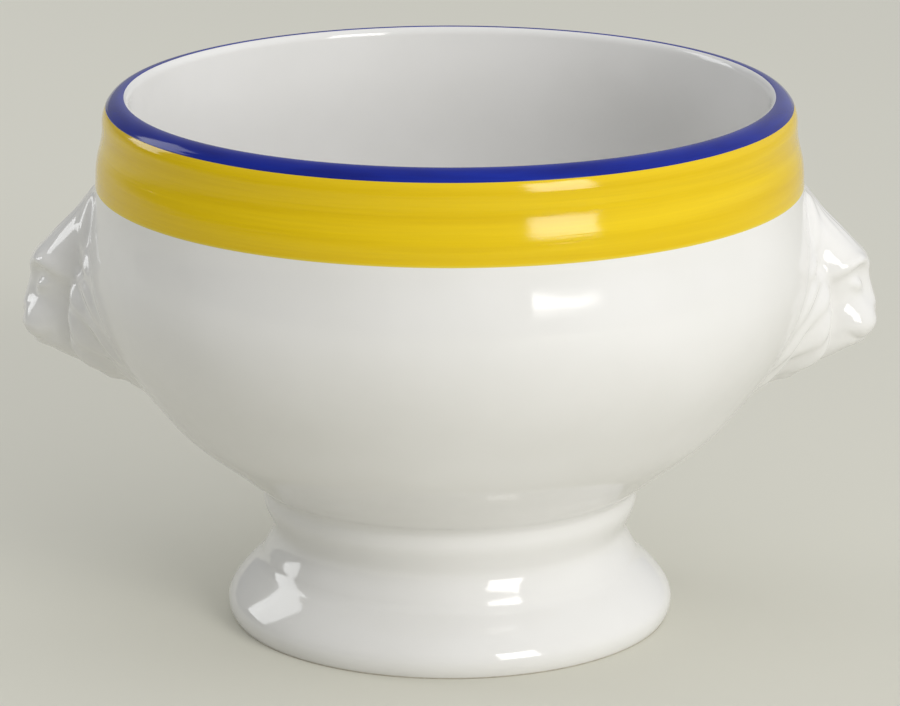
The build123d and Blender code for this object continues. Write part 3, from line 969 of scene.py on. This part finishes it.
def scored(across, height, lines):
    """How deep the lines cut at a place seen from the front."""
    depth = np.zeros(across.shape)
    for line in lines:
        line = bent_line(line, LINE_STEPS)
        for start, stop in zip(line, line[1:]):
            along = (stop - start)[:2]
            y, z = across - start[0], height - start[1]
            share = np.clip((y * along[0] + z * along[1]) / (along @ along), 0, 1)
            gap = np.hypot(y - share * along[0], z - share * along[1])
            here = start[2] + share * (stop[2] - start[2])
            depth = np.maximum(depth, here * np.exp(-((gap / LINE_WIDTH) ** 2)))
    return depth


def head_form(clay):
    """The forehead, cheeks and muzzle in one block against the mane, with a scored forehead."""
    head = rounded_block(clay, HEAD_ROWS, HEAD_CORNER_SHARE)
    form = pressed(mane_form(clay), head, HEAD_FILLET)
    return form + scored(clay[0, ..., 1], clay[0, ..., 2], FOREHEAD_LINES)


def nose(clay, rows):
    return rounded_block(clay, rows, NOSE_CORNER_SHARE)


# What is pressed on the head or carved out of it, one after the other, and how softly
FACE_STEPS = (
    (pressed, roll, BROW, 1.6),
    (carved, roll, EYE_SOCKET, 1.4),
    (carved, roll, BROW_CREASE, 1.4),
    (pressed, roll, EYE, 0.7),
    (pressed, nose, NOSE_ROWS, 1.4),
    (pressed, egg, MUZZLE_PAD, 2.0),
    (pressed, egg, CHIN, 1.2),
    (carved, egg, NOSTRIL, 0.6),
    (carved, roll, MOUTH, 0.9),
    (carved, roll, LIP_CLEFT, 0.5),
)


def lion_form(clay):
    form = head_form(clay)
    for work, shape, sizes, softness in FACE_STEPS:
        form = work(form, shape(clay, sizes), softness)
    return form


def side_radius(height):
    """The radius of the bowl's outside below its lip."""
    return np.interp(height, side_of_bowl[:, 1], side_of_bowl[:, 0])


def softened(field, width):
    """The field blurred by a bell curve that is as wide as the glaze rounds a corner."""
    reach = math.ceil(3 * width / GRAIN)
    weights = np.exp(-0.5 * (np.arange(-reach, reach + 1) * GRAIN / width) ** 2)
    weights /= weights.sum()
    for axis in range(3):
        padding = [(0, 0)] * 3
        padding[axis] = (reach, reach)
        padded = np.pad(field, padding, mode="edge")
        size = field.shape[axis]
        field = sum(
            weight * np.take(padded, range(i, i + size), axis) for i, weight in enumerate(weights)
        )
    return field


def skin_of(field, low):
    """Closed quads round the cells that the field's zero level passes through."""
    inside = field < 0
    shape = np.array(field.shape) - 1
    corners = np.array([(i, j, k) for i in (0, 1) for j in (0, 1) for k in (0, 1)])
    windows = [tuple(slice(c, c + s) for c, s in zip(corner, shape)) for corner in corners]
    count = sum(inside[window].astype(np.int8) for window in windows)
    cells = np.argwhere((count > 0) & (count < 8))
    number = np.full(shape, -1)
    number[tuple(cells.T)] = np.arange(len(cells))
    total, crossings = np.zeros((len(cells), 3)), np.zeros(len(cells))
    for corner in corners:
        for axis in np.flatnonzero(corner == 0):
            step = np.eye(3, dtype=int)[axis]
            first = field[tuple((cells + corner).T)]
            second = field[tuple((cells + corner + step).T)]
            crossed = (first < 0) != (second < 0)
            share = first[crossed] / (first[crossed] - second[crossed])
            total[crossed] += corner + step * share[:, None]
            crossings[crossed] += 1
    places = (cells + total / crossings[:, None]) * GRAIN + low
    quads = []
    for axis, (u, v) in enumerate(((1, 2), (2, 0), (0, 1))):
        here = np.moveaxis(inside, axis, 0)
        edges = np.argwhere(np.moveaxis(here[1:] != here[:-1], 0, axis))
        around = []
        for du, dv in ((1, 1), (0, 1), (0, 0), (1, 0)):
            cell = edges.copy()
            cell[:, u] -= du
            cell[:, v] -= dv
            around.append(number[tuple(cell.T)])
        quad = np.stack(around, 1)
        outwards = inside[tuple(edges.T)]
        quads.append(np.where(outwards[:, None], quad, quad[:, ::-1]))
    return places, np.vstack(quads)


def relaxed(places, quads):
    """The skin smoothed without shrinking: each round draws in and then lets out."""
    first, second = quads.ravel(), np.roll(quads, -1, 1).ravel()
    ends = np.concatenate((first, second)), np.concatenate((second, first))
    degree = np.bincount(ends[0], minlength=len(places))
    for weight in (DRAW_IN, LET_OUT) * SMOOTHING_ROUNDS:
        around = [np.bincount(ends[0], places[ends[1], k], len(places)) for k in range(3)]
        places = places + weight * (np.stack(around, 1) / degree[:, None] - places)
    return places


def slopes_at(field, low, places):
    """The field's direction of growth at some places."""
    slopes = np.stack(np.gradient(field), -1)
    spots = (places - low) / GRAIN
    cells = np.clip(spots.astype(int), 0, np.array(field.shape) - 2)
    shares = spots - cells
    result = np.zeros(places.shape)
    for corner in np.ndindex(2, 2, 2):
        weight = np.prod(np.where(corner, shares, 1 - shares), axis=1)
        result += weight[:, None] * slopes[tuple((cells + corner).T)]
    return result / np.linalg.norm(result, axis=1)[:, None]


def sculpted_mask():
    """The mask's places, quads and face directions, looking along +X."""
    axes = [np.arange(low, high, GRAIN) for low, high in zip(BLOCK_LOW, BLOCK_HIGH)]
    half = lion_form(np.stack(np.meshgrid(*axes, indexing="ij"), -1).astype(np.float32))
    lion = softened(np.concatenate((half[:, :0:-1], half), 1), GLAZE_SOFTENING)
    axes[1] = np.concatenate((-axes[1][:0:-1], axes[1]))
    low = np.array([axis[0] for axis in axes])
    x, y, z = np.meshgrid(*axes, indexing="ij")
    lean = np.gradient(side_radius(axes[2]), axes[2])
    bowl = (np.hypot(x, y) - side_radius(z)) / np.sqrt(1 + lean**2)
    joined = pressed(lion, bowl - MASK_EDGE_LIFT, np.interp(z, JOINT_HEIGHTS, JOINT_FILLETS))
    body = np.maximum(joined, np.maximum(-(bowl + MASK_INSET), lion - MASK_EDGE_REACH))
    body = np.maximum(body, z - MASK_TOP_HEIGHT)
    body = np.pad(body[1:-1, 1:-1, 1:-1], 1, constant_values=GRAIN)
    places, quads = skin_of(body, low)
    places = relaxed(places, quads)
    directions = slopes_at(joined, low, places)
    radius = np.hypot(places[:, 0], places[:, 1])
    directions[radius < side_radius(places[:, 2]) - MASK_INSET / 4] = 0.0
    return places, quads, directions


def make_lion_handles():
    places, quads, directions = sculpted_mask()
    for side, way in (("right", 1.0), ("left", -1.0)):
        turn = np.array((way, way, 1.0))
        mesh = bpy.data.meshes.new("lion_handle_" + side)
        mesh.from_pydata(places * turn * MM, [], quads)
        mesh.shade_smooth()
        mesh.normals_split_custom_set_from_vertices(directions * turn)
        mesh.materials.append(glaze)
        piece = finished("lion_handle_" + side + "_glazed", mesh)
        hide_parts("lion_handle_" + side)


make_bowl()
make_yellow_band()
make_blue_line()
make_foot()
make_lion_handles()


# Floor and light

FLOOR_HALF_SIDE = 6000.0
SOFTBOX_DISTANCE = 1200.0
# The room brightens towards one way, and is dimmest where the cosine of the angle to it is low
ROOM_BRIGHT_WAY = (0.52, 0.0, 0.854)
ROOM_DIM_COSINE = -0.5
ROOM_DIM = 0.12
ROOM_BRIGHT = 0.93
ROOM_COLOUR = (0.98, 0.985, 1.0, 1.0)


def make_floor():
    mesh = bpy.data.meshes.new("floor")
    work = bmesh.new()
    bmesh.ops.create_grid(work, x_segments=8, y_segments=8, size=FLOOR_HALF_SIDE * MM)
    work.to_mesh(mesh)
    work.free()
    floor = bpy.data.objects.new("floor", mesh)
    bpy.context.scene.collection.objects.link(floor)
    mesh.materials.append(pale_paper())


def softbox(name, azimuth, low, high, width, power, colour):
    """A soft light that faces the crock and fills the sky between two elevations."""
    data = bpy.data.lights.new(name, "AREA")
    data.shape = "RECTANGLE"
    distance = SOFTBOX_DISTANCE * MM
    bottom = distance * math.tan(math.radians(low))
    top = distance * math.tan(math.radians(high))
    data.size = width * MM
    data.size_y = top - bottom
    data.energy = power
    data.color = colour
    turn = math.radians(azimuth)
    place = Vector((math.sin(turn) * distance, -math.cos(turn) * distance, (bottom + top) / 2))
    light = bpy.data.objects.new(name, data)
    light.location = place
    aim = Vector((-place.x, -place.y, 0))
    light.rotation_euler = aim.to_track_quat("-Z", "Y").to_euler()
    light.visible_camera = False
    bpy.context.scene.collection.objects.link(light)


def room_of_light():
    """A pale room that is brighter above and on the right."""
    world = bpy.data.worlds.new("room")
    world.use_nodes = True
    nodes, links = world.node_tree.nodes, world.node_tree.links
    place = nodes.new("ShaderNodeTexCoord")
    towards = nodes.new("ShaderNodeVectorMath")
    towards.operation = "DOT_PRODUCT"
    links.new(place.outputs["Generated"], towards.inputs[0])
    towards.inputs[1].default_value = ROOM_BRIGHT_WAY
    strength = nodes.new("ShaderNodeMapRange")
    strength.inputs["From Min"].default_value = ROOM_DIM_COSINE
    strength.inputs["To Min"].default_value = ROOM_DIM
    strength.inputs["To Max"].default_value = ROOM_BRIGHT
    links.new(towards.outputs["Value"], strength.inputs["Value"])
    background = nodes["Background"]
    background.inputs["Color"].default_value = ROOM_COLOUR
    links.new(strength.outputs[0], background.inputs["Strength"])
    return world


def make_light():
    warm, cool = (1.0, 0.985, 0.96), (0.97, 0.985, 1.0)
    softbox("softbox_right", azimuth=35.7, low=8.3, high=35.0, width=460.0, power=8.0, colour=warm)
    softbox("softbox_left", azimuth=-118.0, low=10.0, high=40.0, width=420.0, power=3.4, colour=cool)
    bpy.context.scene.world = room_of_light()
    bpy.context.scene.view_settings.view_transform = "Standard"


make_floor()
make_light()
